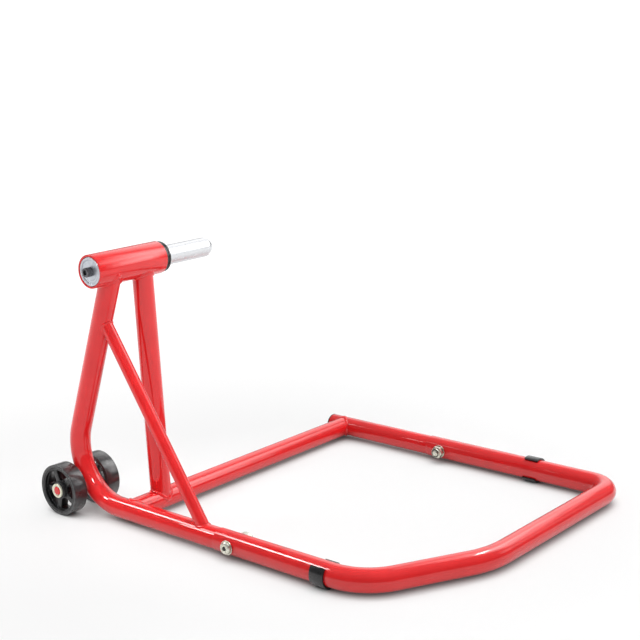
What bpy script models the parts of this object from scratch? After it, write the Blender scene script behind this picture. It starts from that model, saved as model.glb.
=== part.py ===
"""Paddock stand for a motorcycle with a single-sided swingarm.

A welded steel tube frame carries a large lifting tube with a turning lifting pin. Two small wheels run on an
axle behind the lifting pin, and a bolted U-shaped handle closes the base on the other side.

Metres, +Z up. +X runs from the wheels to the handle, +Y from the near rail to the far rail. The origin is on
the floor, under the middle of the whole stand.
"""

import math

import bmesh
import bpy
from mathutils import Matrix, Vector

# ---------------------------------------------------------------- driving dimensions
GAP = 0.0003  # between pieces that touch, or that are welded to each other

FRAME_TUBE_R = 0.015
FRAME_WALL = 0.002
HANDLE_TUBE_R = 0.016
HANDLE_WALL = 0.002
BRACE_R = 0.009
BRACE_WALL = 0.0015

RAIL_HEIGHT = 0.0185  # axis of the base tubes above the floor
RAIL_SPACING = 0.485  # near rail axis to far rail axis
LIFT_HEIGHT = 0.3675  # lifting axis above the floor
LIFT_TUBE_R = 0.0235
LIFT_TUBE_WALL = 0.003
LIFT_TUBE_NEAR = -0.033  # the tube's ends, across from the near rail
LIFT_TUBE_FAR = 0.092

LEG_TILT = math.radians(19.6)  # of the near leg from the vertical
NEAR_BEND_R = 0.080
SECOND_LEG_ACROSS = 0.060
SECOND_LEG_TOP = 0.0029  # its axis passes this far forward of the lifting axis
BEAM_FORWARD = 0.019
BRACE_TOP = (-0.0157, 0.2955)  # forward and up, on the near leg's axis
BRACE_FOOT = 0.1716  # forward, on the near rail's axis
FAR_RAIL_BACK = -0.006
SEAM_FORWARD = 0.195  # where the handle tube meets the frame's rails
SPIGOT_LENGTH = 0.060

HANDLE_CORNER = 0.437  # forward: where the near rail's axis meets the diagonal's
DIAGONAL_TURN = math.radians(62.5)
HANDLE_FORWARD = 0.521
HANDLE_BENDS = (0.075, 0.130, 0.036)  # centreline radii: near rail, diagonal to end bar, far corner

BOLT_FORWARD = 0.223
BOLT_R = 0.005
BOLT_HEAD_R = 0.00875
BOLT_HEAD_HEIGHT = 0.0040
BOLT_WASHER_R = 0.010
BOLT_WASHER = 0.0015
NUT_ACROSS_FLATS = 0.017
NUT_HEIGHT = 0.010
SOCKET_ACROSS_FLATS = 0.006

FOOT_WIDTH = 0.0225
FOOT_THICKNESS = 0.0027
NEAR_FOOT_FORWARD = 0.378
FAR_FOOT_FORWARD = 0.385
FOOT_OPENING = math.radians(102)
NEAR_FOOT_FACING = math.radians(86)  # middle of its opening, turned up from +Y
FAR_FOOT_FACING = math.radians(166)

WHEEL_BACK = 0.087  # wheel axle behind the lifting axis
WHEEL_R = 0.0375
WHEEL_WIDTH = 0.023
WHEEL_INNER_FACE = 0.0195
AXLE_R = 0.006
AXLE_HALF = 0.0455
SLEEVE_R = 0.011
WHEEL_WASHER_R = 0.011
WHEEL_WASHER = 0.0015
TYRE_INNER_R = 0.0330
RIM_INNER_R = 0.0300
WHEEL_BOSS_R = 0.013
SPOKES = 5
SPOKE_HALF_WIDTH = 0.0042
SPOKE_TURN = math.radians(5)  # of the first opening between the spokes
WEB_HALF = 0.0065

PIN_R = 0.01425
PIN_FLANGE_R = 0.018
PIN_FLANGE = 0.003
PIN_REACH = 0.092  # beyond its flange, into the hollow axle of the motorcycle
PIN_CHAMFER = 0.004
PIN_COLLAR_R = 0.022
PIN_COLLAR = 0.008
BUSH_LENGTH = 0.030
END_DISC_R = 0.0200
END_DISC = 0.005
END_DISC_INSET = 0.0005
END_BOLT_R = 0.004
END_BOLT_HEAD_R = 0.0065
END_BOLT_HEAD = 0.0098
END_BOLT_LENGTH = 0.022

# The origin sits midway between the outermost pieces.
BACK_END = -WHEEL_BACK - WHEEL_R
FRONT_END = HANDLE_FORWARD + HANDLE_TUBE_R
NEAR_END = -AXLE_HALF
FAR_END = RAIL_SPACING + HANDLE_TUBE_R + 2 * GAP + BOLT_WASHER + BOLT_HEAD_HEIGHT
LIFT_X = -(BACK_END + FRONT_END) / 2
NEAR_Y = -(NEAR_END + FAR_END) / 2

TUBE_SIDES = 20
ROUND_STEPS = 24
BEND_STEP = math.radians(9)

parts = bpy.data.collections.new("paddock_stand")
cutters = bpy.data.collections.new("cutters")
materials = {}


def at(forward, across, up):
    """A place forward of the lifting axis, across from the near rail's axis and up from the floor."""
    return Vector((LIFT_X + forward, NEAR_Y + across, up))


# ---------------------------------------------------------------- helpers
def clear_scene():
    for obj in list(bpy.data.objects):
        bpy.data.objects.remove(obj, do_unlink=True)
    for collection in (parts, cutters):
        bpy.context.scene.collection.children.link(collection)
    cutters.hide_render = True


def material(name, colour, roughness, metallic=0.0):
    made = bpy.data.materials.new(name)
    made.use_nodes = True
    shader = made.node_tree.nodes["Principled BSDF"]
    shader.inputs["Base Color"].default_value = (*colour, 1.0)
    shader.inputs["Roughness"].default_value = roughness
    shader.inputs["Metallic"].default_value = metallic
    materials[name] = made


def make_materials():
    material("red_paint", (0.62, 0.012, 0.014), 0.18)
    material("zinc_plate", (0.62, 0.61, 0.56), 0.30, 1.0)
    material("black_plastic", (0.012, 0.012, 0.013), 0.42)
    material("black_rubber", (0.016, 0.016, 0.017), 0.60)
    material("black_steel", (0.02, 0.02, 0.022), 0.38, 1.0)
    material("bush_plastic", (0.70, 0.68, 0.60), 0.50)


def add(name, mesh, finish=None):
    """Puts a mesh in the scene as a part with its material or, with no finish, as a hidden cutter."""
    obj = bpy.data.objects.new(name, mesh)
    if finish:
        parts.objects.link(obj)
        mesh.materials.append(materials[finish])
        mesh.shade_smooth()
        mesh.set_sharp_from_angle(angle=math.radians(35))
    else:
        cutters.objects.link(obj)
        obj.hide_render = True
        obj.display_type = "WIRE"
    return obj


def boolean(obj, other, operation="DIFFERENCE"):
    modifier = obj.modifiers.new(other.name, "BOOLEAN")
    modifier.operation = operation
    modifier.object = other
    modifier.solver = "EXACT"
    return obj


def along(start, end):
    """The matrix that takes the Z axis, from the origin, to the line from start to end."""
    turn = (end - start).to_track_quat("Z", "Y").to_matrix().to_4x4()
    return Matrix.Translation((start + end) / 2) @ turn


def rod(name, start, end, radius, finish=None, sides=TUBE_SIDES):
    """A solid round bar between two points; six sides make a hexagonal one."""
    mesh = bpy.data.meshes.new(name)
    bm = bmesh.new()
    bmesh.ops.create_cone(
        bm, cap_ends=True, segments=sides, radius1=radius, radius2=radius, depth=(end - start).length
    )
    bm.to_mesh(mesh)
    bm.free()
    obj = add(name, mesh, finish)
    obj.matrix_world = along(start, end)
    return obj


def rounded_path(corners, radii):
    """The corners joined by straight runs, with an arc of the given radius in place of each inner corner."""
    path = [corners[0]]
    for before, corner, after, radius in zip(corners, corners[1:], corners[2:], radii):
        towards_before = (before - corner).normalized()
        towards_after = (after - corner).normalized()
        turn = math.pi - towards_before.angle(towards_after)
        centre = corner + (towards_before + towards_after).normalized() * radius / math.cos(turn / 2)
        first = corner + towards_before * radius * math.tan(turn / 2) - centre
        axis = first.cross(-towards_before)
        steps = max(2, math.ceil(turn / BEND_STEP))
        for step in range(steps + 1):
            path.append(centre + Matrix.Rotation(turn * step / steps, 3, axis) @ first)
    return path + [corners[-1]]


def bent_tube(name, path, radius, finish=None):
    """A solid round bar along a path, made a mesh so that it can be cut."""
    curve = bpy.data.curves.new(name, "CURVE")
    curve.dimensions = "3D"
    curve.bevel_depth = radius
    curve.bevel_resolution = (TUBE_SIDES - 4) // 2
    curve.use_fill_caps = True
    spline = curve.splines.new("POLY")
    spline.points.add(len(path) - 1)
    for point, place in zip(spline.points, path):
        point.co = (*place, 1.0)
    guide = bpy.data.objects.new(name + "_curve", curve)
    parts.objects.link(guide)
    bpy.context.view_layer.update()
    mesh = bpy.data.meshes.new_from_object(guide.evaluated_get(bpy.context.evaluated_depsgraph_get()))
    bpy.data.objects.remove(guide, do_unlink=True)
    bm = bmesh.new()
    bm.from_mesh(mesh)
    bmesh.ops.remove_doubles(bm, verts=bm.verts, dist=0.000001)
    bmesh.ops.recalc_face_normals(bm, faces=bm.faces)
    bm.to_mesh(mesh)
    bm.free()
    return add(name, mesh, finish)


def turned(name, profile, place, axis, finish=None, closed=False, steps=ROUND_STEPS):
    """Turns (radius, height) points about an axis; they run down the outside, and back up a bore if closed."""
    mesh = bpy.data.meshes.new(name)
    edges = [(index, index + 1) for index in range(len(profile) - 1)]
    if closed:
        edges.append((len(profile) - 1, 0))
    mesh.from_pydata([(radius, 0.0, height) for radius, height in profile], edges, [])
    obj = add(name, mesh, finish)
    obj.matrix_world = Matrix.Translation(place) @ axis.to_track_quat("Z", "Y").to_matrix().to_4x4()
    screw = obj.modifiers.new("turn", "SCREW")
    screw.steps = steps
    screw.render_steps = steps
    screw.use_merge_vertices = True
    screw.merge_threshold = 0.00001
    screw.use_smooth_shade = True
    return obj


def ring(name, inner, outer, low, high, place, axis, finish, chamfer=0.0, steps=ROUND_STEPS):
    """A turned ring, with its outer edges chamfered."""
    profile = [
        (outer - chamfer, high),
        (outer, high - chamfer),
        (outer, low + chamfer),
        (outer - chamfer, low),
        (inner, low),
        (inner, high),
    ]
    if not chamfer:
        profile = [(outer, high), (outer, low), (inner, low), (inner, high)]
    return turned(name, profile, place, axis, finish, True, steps)


def plate(name, outline, thickness, matrix, finish=None):
    """A flat outline in its own XY plane, thickened equally both ways along its Z."""
    curve = bpy.data.curves.new(name, "CURVE")
    curve.dimensions = "2D"
    curve.fill_mode = "BOTH"
    curve.extrude = thickness / 2
    spline = curve.splines.new("POLY")
    spline.use_cyclic_u = True
    spline.points.add(len(outline) - 1)
    for point, (x, y) in zip(spline.points, outline):
        point.co = (x, y, 0.0, 1.0)
    guide = bpy.data.objects.new(name + "_curve", curve)
    parts.objects.link(guide)
    bpy.context.view_layer.update()
    mesh = bpy.data.meshes.new_from_object(guide.evaluated_get(bpy.context.evaluated_depsgraph_get()))
    bpy.data.objects.remove(guide, do_unlink=True)
    bm = bmesh.new()
    bm.from_mesh(mesh)
    bmesh.ops.remove_doubles(bm, verts=bm.verts, dist=0.000001)
    bmesh.ops.recalc_face_normals(bm, faces=bm.faces)
    bm.to_mesh(mesh)
    bm.free()
    obj = add(name, mesh, finish)
    obj.matrix_world = matrix
    return obj


def arc(radius, start, end, steps):
    """Points along an arc about the origin, both ends included."""
    angles = [start + (end - start) * step / steps for step in range(steps + 1)]
    return [(radius * math.cos(angle), radius * math.sin(angle)) for angle in angles]


X_AXIS = Vector((1, 0, 0))
Y_AXIS = Vector((0, 1, 0))
Z_AXIS = Vector((0, 0, 1))


# ---------------------------------------------------------------- paths shared by the frame's pieces
def near_tube_corners():
    """Top of the near leg, the corner under it, and the rail's end at the seam."""
    # The leg lies inside the lifting tube's width, touching the same tangent on its handle side.
    offset = (LIFT_TUBE_R - FRAME_TUBE_R) / math.cos(LEG_TILT)
    drop = LIFT_HEIGHT - RAIL_HEIGHT
    corner = offset - drop * math.tan(LEG_TILT)
    return [at(offset, 0, LIFT_HEIGHT), at(corner, 0, RAIL_HEIGHT), at(SEAM_FORWARD, 0, RAIL_HEIGHT)]


def handle_corners():
    far = RAIL_SPACING
    diagonal_end = (HANDLE_FORWARD - HANDLE_CORNER) * math.tan(DIAGONAL_TURN)
    return [
        at(SEAM_FORWARD, 0, RAIL_HEIGHT),
        at(HANDLE_CORNER, 0, RAIL_HEIGHT),
        at(HANDLE_FORWARD, diagonal_end, RAIL_HEIGHT),
        at(HANDLE_FORWARD, far, RAIL_HEIGHT),
        at(SEAM_FORWARD, far, RAIL_HEIGHT),
    ]


def wheel_centre(across=0.0):
    return at(-WHEEL_BACK, across, WHEEL_R)


def lift_axis(across):
    return at(0, across, LIFT_HEIGHT)


# ---------------------------------------------------------------- cutters
def make_shared_cutters():
    """Clearance shapes that cope one welded tube to the next, each a gap larger than the tube it stands for."""
    clearance = FRAME_TUBE_R + GAP
    corners = near_tube_corners()
    corners[0] = corners[0] + (corners[0] - corners[1]).normalized() * 0.02
    shapes = {
        "near_tube": bent_tube("near_tube_clearance", rounded_path(corners, [NEAR_BEND_R]), clearance),
        "lift_tube": rod(
            "lift_tube_clearance",
            lift_axis(LIFT_TUBE_NEAR - 0.01),
            lift_axis(LIFT_TUBE_FAR + 0.01),
            LIFT_TUBE_R + GAP,
            sides=36,
        ),
        "beam": rod(
            "beam_clearance",
            at(BEAM_FORWARD, 0, RAIL_HEIGHT),
            at(BEAM_FORWARD, RAIL_SPACING, RAIL_HEIGHT),
            clearance,
        ),
        "far_rail": rod(
            "far_rail_clearance",
            at(FAR_RAIL_BACK - 0.02, RAIL_SPACING, RAIL_HEIGHT),
            at(SEAM_FORWARD, RAIL_SPACING, RAIL_HEIGHT),
            clearance,
        ),
    }
    for side, across in (("near", 0.0), ("far", RAIL_SPACING)):
        shapes[side + "_bolt"] = rod(
            side + "_bolt_hole",
            at(BOLT_FORWARD, across - 0.03, RAIL_HEIGHT),
            at(BOLT_FORWARD, across + 0.03, RAIL_HEIGHT),
            BOLT_R + GAP,
            sides=16,
        )
    return shapes


# ---------------------------------------------------------------- welded frame
def rail_with_spigot(name, outer, inner_path, across, bolt_hole):
    """Bores a rail out and gives it a reduced end that slides into the handle tube."""
    spigot_r = HANDLE_TUBE_R - HANDLE_WALL - GAP
    start = at(SEAM_FORWARD - 0.004, across, RAIL_HEIGHT)
    end = at(SEAM_FORWARD + SPIGOT_LENGTH, across, RAIL_HEIGHT)
    spigot = rod(name + "_spigot", start, end, spigot_r)
    bore = bent_tube(name + "_bore", inner_path, FRAME_TUBE_R - FRAME_WALL)
    spigot_bore = rod(
        name + "_spigot_bore", start - X_AXIS * 0.01, end + X_AXIS * 0.01, spigot_r - FRAME_WALL
    )
    boolean(outer, spigot, "UNION")
    boolean(outer, bore)
    boolean(outer, spigot_bore)
    boolean(outer, bolt_hole)
    return outer


def near_side_tube(shapes):
    """One bent tube: the near leg, the bend behind the wheels' axle and the near rail."""
    corners = near_tube_corners()
    tube = bent_tube("near_side_tube", rounded_path(corners, [NEAR_BEND_R]), FRAME_TUBE_R, "red_paint")
    inner = near_tube_corners()
    inner[0] = inner[0] + (inner[0] - inner[1]).normalized() * 0.02
    inner[2] = inner[2] - X_AXIS * 0.003
    rail_with_spigot("near_side_tube", tube, rounded_path(inner, [NEAR_BEND_R]), 0.0, shapes["near_bolt"])
    boolean(tube, shapes["lift_tube"])


def far_rail_tube(shapes):
    start = at(FAR_RAIL_BACK, RAIL_SPACING, RAIL_HEIGHT)
    end = at(SEAM_FORWARD, RAIL_SPACING, RAIL_HEIGHT)
    tube = rod("far_rail_tube", start, end, FRAME_TUBE_R, "red_paint")
    inner = [start - X_AXIS * 0.01, end - X_AXIS * 0.003]
    rail_with_spigot("far_rail_tube", tube, inner, RAIL_SPACING, shapes["far_bolt"])
    plug_profile = [
        (0.0, 0.0025),
        (0.0130, 0.0025),
        (FRAME_TUBE_R, 0.0010),
        (FRAME_TUBE_R, 0.0),
        (FRAME_TUBE_R - FRAME_WALL - GAP, 0.0),
        (FRAME_TUBE_R - FRAME_WALL - GAP, -0.012),
        (0.0, -0.012),
    ]
    turned("far_rail_end_plug", plug_profile, start - X_AXIS * GAP, -X_AXIS, "black_plastic")


def straight_frame_tubes(shapes):
    """The cross beam, the second leg and the brace, each bored through and coped to what it is welded to."""
    leg_top = at(BRACE_TOP[0], 0, BRACE_TOP[1])
    runs = (
        (
            "cross_beam",
            at(BEAM_FORWARD, 0, RAIL_HEIGHT),
            at(BEAM_FORWARD, RAIL_SPACING, RAIL_HEIGHT),
            FRAME_TUBE_R,
            FRAME_WALL,
            ("near_tube", "far_rail"),
        ),
        (
            "second_leg",
            at(BEAM_FORWARD, SECOND_LEG_ACROSS, RAIL_HEIGHT),
            at(SECOND_LEG_TOP, SECOND_LEG_ACROSS, LIFT_HEIGHT),
            FRAME_TUBE_R,
            FRAME_WALL,
            ("beam", "lift_tube"),
        ),
        ("diagonal_brace", at(BRACE_FOOT, 0, RAIL_HEIGHT), leg_top, BRACE_R, BRACE_WALL, ("near_tube",)),
    )
    for name, start, end, radius, wall, copes in runs:
        tube = rod(name, start, end, radius, "red_paint")
        reach = (end - start).normalized() * 0.01
        boolean(tube, rod(name + "_bore", start - reach, end + reach, radius - wall))
        for cope in copes:
            boolean(tube, shapes[cope])


def lift_tube():
    bore_r = LIFT_TUBE_R - LIFT_TUBE_WALL
    length = LIFT_TUBE_FAR - LIFT_TUBE_NEAR
    ring(
        "lift_tube", bore_r, LIFT_TUBE_R, 0, length, lift_axis(LIFT_TUBE_NEAR), Y_AXIS, "red_paint", 0.0006, 36
    )


# ---------------------------------------------------------------- handle
def handle_tube(shapes):
    """The removable U: near rail, diagonal, end bar, far corner and far rail in one bent tube."""
    corners = handle_corners()
    tube = bent_tube("handle_tube", rounded_path(corners, HANDLE_BENDS), HANDLE_TUBE_R, "red_paint")
    longer = handle_corners()
    longer[0] = longer[0] - X_AXIS * 0.01
    longer[-1] = longer[-1] - X_AXIS * 0.01
    bore = bent_tube("handle_bore", rounded_path(longer, HANDLE_BENDS), HANDLE_TUBE_R - HANDLE_WALL)
    boolean(tube, bore)
    boolean(tube, shapes["near_bolt"])
    boolean(tube, shapes["far_bolt"])


def joint_fasteners(side, across, outward):
    """A button head bolt from the outside, and a washer and a lock nut on the inside."""
    centre = at(BOLT_FORWARD, across, RAIL_HEIGHT)
    seat = HANDLE_TUBE_R + GAP
    bore = BOLT_R + GAP
    head_seat = seat + BOLT_WASHER + GAP
    nut_seat = -head_seat
    bolt_end = nut_seat - NUT_HEIGHT - 0.002
    ring(
        side + "_head_washer", bore, BOLT_WASHER_R, seat, seat + BOLT_WASHER, centre, outward, "zinc_plate", 0.0003
    )
    ring(
        side + "_nut_washer", bore, BOLT_WASHER_R, -seat - BOLT_WASHER, -seat, centre, outward, "zinc_plate", 0.0003
    )
    profile = [
        (0.0, head_seat + BOLT_HEAD_HEIGHT),
        (0.0050, head_seat + BOLT_HEAD_HEIGHT),
        (0.0072, head_seat + BOLT_HEAD_HEIGHT * 0.76),
        (0.0084, head_seat + BOLT_HEAD_HEIGHT * 0.40),
        (BOLT_HEAD_R, head_seat + BOLT_HEAD_HEIGHT * 0.12),
        (BOLT_HEAD_R, head_seat),
        (BOLT_R, head_seat),
        (BOLT_R, bolt_end + 0.0008),
        (BOLT_R - 0.0008, bolt_end),
        (0.0, bolt_end),
    ]
    bolt = turned(side + "_bolt", profile, centre, outward, "zinc_plate")
    top = head_seat + BOLT_HEAD_HEIGHT
    socket_r = SOCKET_ACROSS_FLATS / 2 / math.cos(math.pi / 6)
    socket = rod(
        side + "_bolt_socket", centre + outward * (top - 0.003), centre + outward * (top + 0.002), socket_r, sides=6
    )
    boolean(bolt, socket)
    lock_nut(side, centre, outward, nut_seat, bore)


def lock_nut(side, centre, outward, seat, bore):
    """A hexagon with turned corners and the smaller round collar that holds its nylon ring."""
    corner_r = NUT_ACROSS_FLATS / 2 / math.cos(math.pi / 6)
    flat_r = NUT_ACROSS_FLATS / 2
    nut = rod(
        side + "_nut", centre + outward * (seat - NUT_HEIGHT), centre + outward * seat, corner_r, "zinc_plate", 6
    )
    envelope_profile = [
        (0.0, 0.0005),
        (flat_r, 0.0005),
        (corner_r + 0.0005, -0.0010),
        (corner_r + 0.0005, -0.0062),
        (flat_r, -0.0075),
        (flat_r - 0.0012, -0.0080),
        (flat_r - 0.0020, -NUT_HEIGHT - 0.0005),
        (0.0, -NUT_HEIGHT - 0.0005),
    ]
    envelope = turned(side + "_nut_envelope", envelope_profile, centre + outward * seat, outward)
    hole = rod(
        side + "_nut_hole", centre + outward * (seat - 0.02), centre + outward * (seat + 0.01), bore, sides=16
    )
    boolean(nut, envelope, "INTERSECT")
    boolean(nut, hole)


def foot_clip(side, forward, across, opening_centre):
    """A snap-on C of black plastic under the handle tube, flattened where it stands on the floor."""
    inner = HANDLE_TUBE_R + GAP
    outer = inner + FOOT_THICKNESS
    start = opening_centre + FOOT_OPENING / 2
    end = opening_centre - FOOT_OPENING / 2 + 2 * math.pi
    bottom = 1.5 * math.pi
    sole = math.acos(RAIL_HEIGHT / outer)
    outside = arc(outer, start, bottom - sole, 12) + arc(outer, bottom + sole, end, 12)
    inside = arc(inner, end, start, 24)
    # The outline's own X and Y become the stand's +Y and +Z, and its thickness runs along X.
    turn = Matrix(((0, 0, 1), (1, 0, 0), (0, 1, 0))).to_4x4()
    matrix = Matrix.Translation(at(forward, across, RAIL_HEIGHT)) @ turn
    plate(side + "_foot_clip", outside + inside, FOOT_WIDTH, matrix, "black_plastic")


# ---------------------------------------------------------------- wheels
def wheel(side, direction):
    """Hub, tyre, inner washer and outer push nut; direction is which way its outer face looks."""
    inner_face = wheel_centre(direction * WHEEL_INNER_FACE)
    outward = Y_AXIS * direction
    bore = AXLE_R + GAP
    hub_edge = TYRE_INNER_R - GAP
    middle = WHEEL_WIDTH / 2
    profile = [
        (hub_edge, WHEEL_WIDTH - 0.0010),
        (hub_edge, 0.0010),
        (RIM_INNER_R + 0.0015, 0.0010),
        (RIM_INNER_R, middle - WEB_HALF),
        (WHEEL_BOSS_R, middle - WEB_HALF),
        (WHEEL_BOSS_R - 0.001, 0.0),
        (bore, 0.0),
        (bore, WHEEL_WIDTH),
        (WHEEL_BOSS_R - 0.001, WHEEL_WIDTH),
        (WHEEL_BOSS_R, middle + WEB_HALF),
        (RIM_INNER_R, middle + WEB_HALF),
        (RIM_INNER_R + 0.0015, WHEEL_WIDTH - 0.0010),
    ]
    hub = turned(side + "_wheel_hub", profile, inner_face, outward, "black_plastic", True)
    for number in range(SPOKES):
        boolean(hub, spoke_window(side, number, inner_face, outward))
    tyre_profile = [
        (TYRE_INNER_R + 0.0005, WHEEL_WIDTH),
        (WHEEL_R - 0.0030, WHEEL_WIDTH),
        (WHEEL_R - 0.0008, WHEEL_WIDTH - 0.0010),
        (WHEEL_R, WHEEL_WIDTH - 0.0035),
        (WHEEL_R, 0.0035),
        (WHEEL_R - 0.0008, 0.0010),
        (WHEEL_R - 0.0030, 0.0),
        (TYRE_INNER_R + 0.0005, 0.0),
        (TYRE_INNER_R, 0.0008),
        (TYRE_INNER_R, WHEEL_WIDTH - 0.0008),
    ]
    turned(side + "_wheel_tyre", tyre_profile, inner_face, outward, "black_rubber", True, 40)
    washer_low = -GAP - WHEEL_WASHER
    ring(
        side + "_wheel_washer", bore, WHEEL_WASHER_R, washer_low, -GAP, inner_face, outward, "zinc_plate", 0.0003
    )
    nut_profile = [
        (0.0070, WHEEL_WIDTH + 0.0024),
        (0.0092, WHEEL_WIDTH + 0.0020),
        (0.0105, WHEEL_WIDTH + 0.0009),
        (0.0105, WHEEL_WIDTH + GAP),
        (bore, WHEEL_WIDTH + GAP),
        (bore, WHEEL_WIDTH + 0.0020),
    ]
    turned(side + "_wheel_push_nut", nut_profile, inner_face, outward, "zinc_plate", True)


def spoke_window(side, number, inner_face, outward):
    """The opening between two spokes of even width: a ring sector with parallel-sided gaps beside it."""
    pitch = 2 * math.pi / SPOKES
    inner_r = WHEEL_BOSS_R + 0.0015
    outer_r = RIM_INNER_R - 0.0010
    inner_half = pitch / 2 - math.asin(SPOKE_HALF_WIDTH / inner_r)
    outer_half = pitch / 2 - math.asin(SPOKE_HALF_WIDTH / outer_r)
    outline = arc(outer_r, -outer_half, outer_half, 5) + arc(inner_r, inner_half, -inner_half, 3)
    spin = Matrix.Rotation(SPOKE_TURN + pitch * number, 4, "Z")
    turn = outward.to_track_quat("Z", "Y").to_matrix().to_4x4() @ spin
    matrix = Matrix.Translation(inner_face + outward * WHEEL_WIDTH / 2) @ turn
    return plate(f"{side}_wheel_window_{number}", outline, 2 * WEB_HALF + 0.004, matrix)


def axle_sleeve(shapes):
    """A short tube welded to the outside of the bend, which holds the wheels' axle."""
    half = WHEEL_INNER_FACE - 2 * GAP - WHEEL_WASHER
    sleeve = ring(
        "axle_sleeve", AXLE_R + GAP, SLEEVE_R, -half, half, wheel_centre(), Y_AXIS, "red_paint", 0.0005
    )
    boolean(sleeve, shapes["near_tube"])


def wheel_axle():
    chamfer = 0.0008
    profile = [
        (0.0, AXLE_HALF),
        (AXLE_R - chamfer, AXLE_HALF),
        (AXLE_R, AXLE_HALF - chamfer),
        (AXLE_R, -AXLE_HALF + chamfer),
        (AXLE_R - chamfer, -AXLE_HALF),
        (0.0, -AXLE_HALF),
    ]
    turned("wheel_axle", profile, wheel_centre(), Y_AXIS, "red_paint")


# ---------------------------------------------------------------- lifting pin
def lifting_pin():
    """The pin runs in two bushes, between its collar at the far end and a bolted disc at the near end."""
    bush_outer = LIFT_TUBE_R - LIFT_TUBE_WALL - GAP
    bush_inner = PIN_R + GAP
    disc_face = LIFT_TUBE_NEAR + END_DISC_INSET
    pin_start = disc_face + END_DISC + GAP
    collar_start = LIFT_TUBE_FAR + GAP
    flange_start = collar_start + PIN_COLLAR + GAP
    pin_end = flange_start + PIN_FLANGE + PIN_REACH
    for name, low in (("near_bush", pin_start + 0.001), ("far_bush", LIFT_TUBE_FAR - BUSH_LENGTH - GAP)):
        ring(name, bush_inner, bush_outer, 0, BUSH_LENGTH, lift_axis(low), Y_AXIS, "bush_plastic")
    pin_profile = [
        (0.0, pin_end),
        (PIN_R - PIN_CHAMFER, pin_end),
        (PIN_R, pin_end - 2 * PIN_CHAMFER),
        (PIN_R, flange_start + PIN_FLANGE),
        (PIN_FLANGE_R, flange_start + PIN_FLANGE),
        (PIN_FLANGE_R, flange_start),
        (PIN_R, flange_start),
        (PIN_R, pin_start),
        (END_BOLT_R + GAP, pin_start),
        (END_BOLT_R + GAP, pin_start + END_BOLT_LENGTH),
        (0.0, pin_start + END_BOLT_LENGTH),
    ]
    turned("lifting_pin", pin_profile, lift_axis(0.0), Y_AXIS, "zinc_plate")
    ring(
        "pin_collar",
        bush_inner,
        PIN_COLLAR_R,
        collar_start,
        collar_start + PIN_COLLAR,
        lift_axis(0.0),
        Y_AXIS,
        "black_plastic",
        0.0010,
    )
    pin_end_disc(disc_face)
    pin_end_bolt(disc_face + 0.0018)


def pin_end_disc(face):
    """A plated disc with a raised rim, clamped to the pin's near end."""
    recess = face + 0.0015
    profile = [
        (END_DISC_R, face + END_DISC),
        (END_DISC_R, face + 0.0006),
        (END_DISC_R - 0.0006, face),
        (END_DISC_R - 0.0030, face),
        (END_DISC_R - 0.0040, recess),
        (END_BOLT_R + GAP, recess),
        (END_BOLT_R + GAP, face + END_DISC),
    ]
    turned("pin_end_disc", profile, lift_axis(0.0), Y_AXIS, "zinc_plate", True, 32)


def pin_end_bolt(seat):
    """The socket head bolt that holds the end disc: its head stands on the disc's recess."""
    under_head = seat - GAP - 0.0003
    top = under_head - END_BOLT_HEAD
    tip = seat + END_BOLT_LENGTH
    profile = [
        (0.0, tip),
        (END_BOLT_R - 0.0008, tip),
        (END_BOLT_R, tip - 0.0008),
        (END_BOLT_R, under_head),
        (END_BOLT_HEAD_R, under_head),
        (END_BOLT_HEAD_R, top + 0.0006),
        (END_BOLT_HEAD_R - 0.0006, top),
        (0.0, top),
    ]
    bolt = turned("pin_end_bolt", profile, lift_axis(0.0), Y_AXIS, "black_steel")
    socket_r = SOCKET_ACROSS_FLATS / 2 / math.cos(math.pi / 6)
    boolean(bolt, rod("pin_end_bolt_socket", lift_axis(top - 0.002), lift_axis(top + 0.004), socket_r, sides=6))


def main():
    clear_scene()
    make_materials()
    shapes = make_shared_cutters()
    near_side_tube(shapes)
    far_rail_tube(shapes)
    straight_frame_tubes(shapes)
    lift_tube()
    handle_tube(shapes)
    joint_fasteners("near", 0.0, -Y_AXIS)
    joint_fasteners("far", RAIL_SPACING, Y_AXIS)
    foot_clip("near", NEAR_FOOT_FORWARD, 0.0, NEAR_FOOT_FACING)
    foot_clip("far", FAR_FOOT_FORWARD, RAIL_SPACING, FAR_FOOT_FACING)
    axle_sleeve(shapes)
    wheel_axle()
    wheel("near", -1)
    wheel("far", 1)
    lifting_pin()


main()
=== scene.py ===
"""The looks of the paddock stand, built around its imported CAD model.

Metres, +Z up, as in the CAD. +X runs from the wheels to the handle's end bar and +Y from the near rail to the
far rail. Smooth, welded and moulded pieces stand in for the faceted CAD nodes and ride on the same bodies.
"""

import math

import bmesh
import bpy
from mathutils import Matrix, Vector, noise

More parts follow.
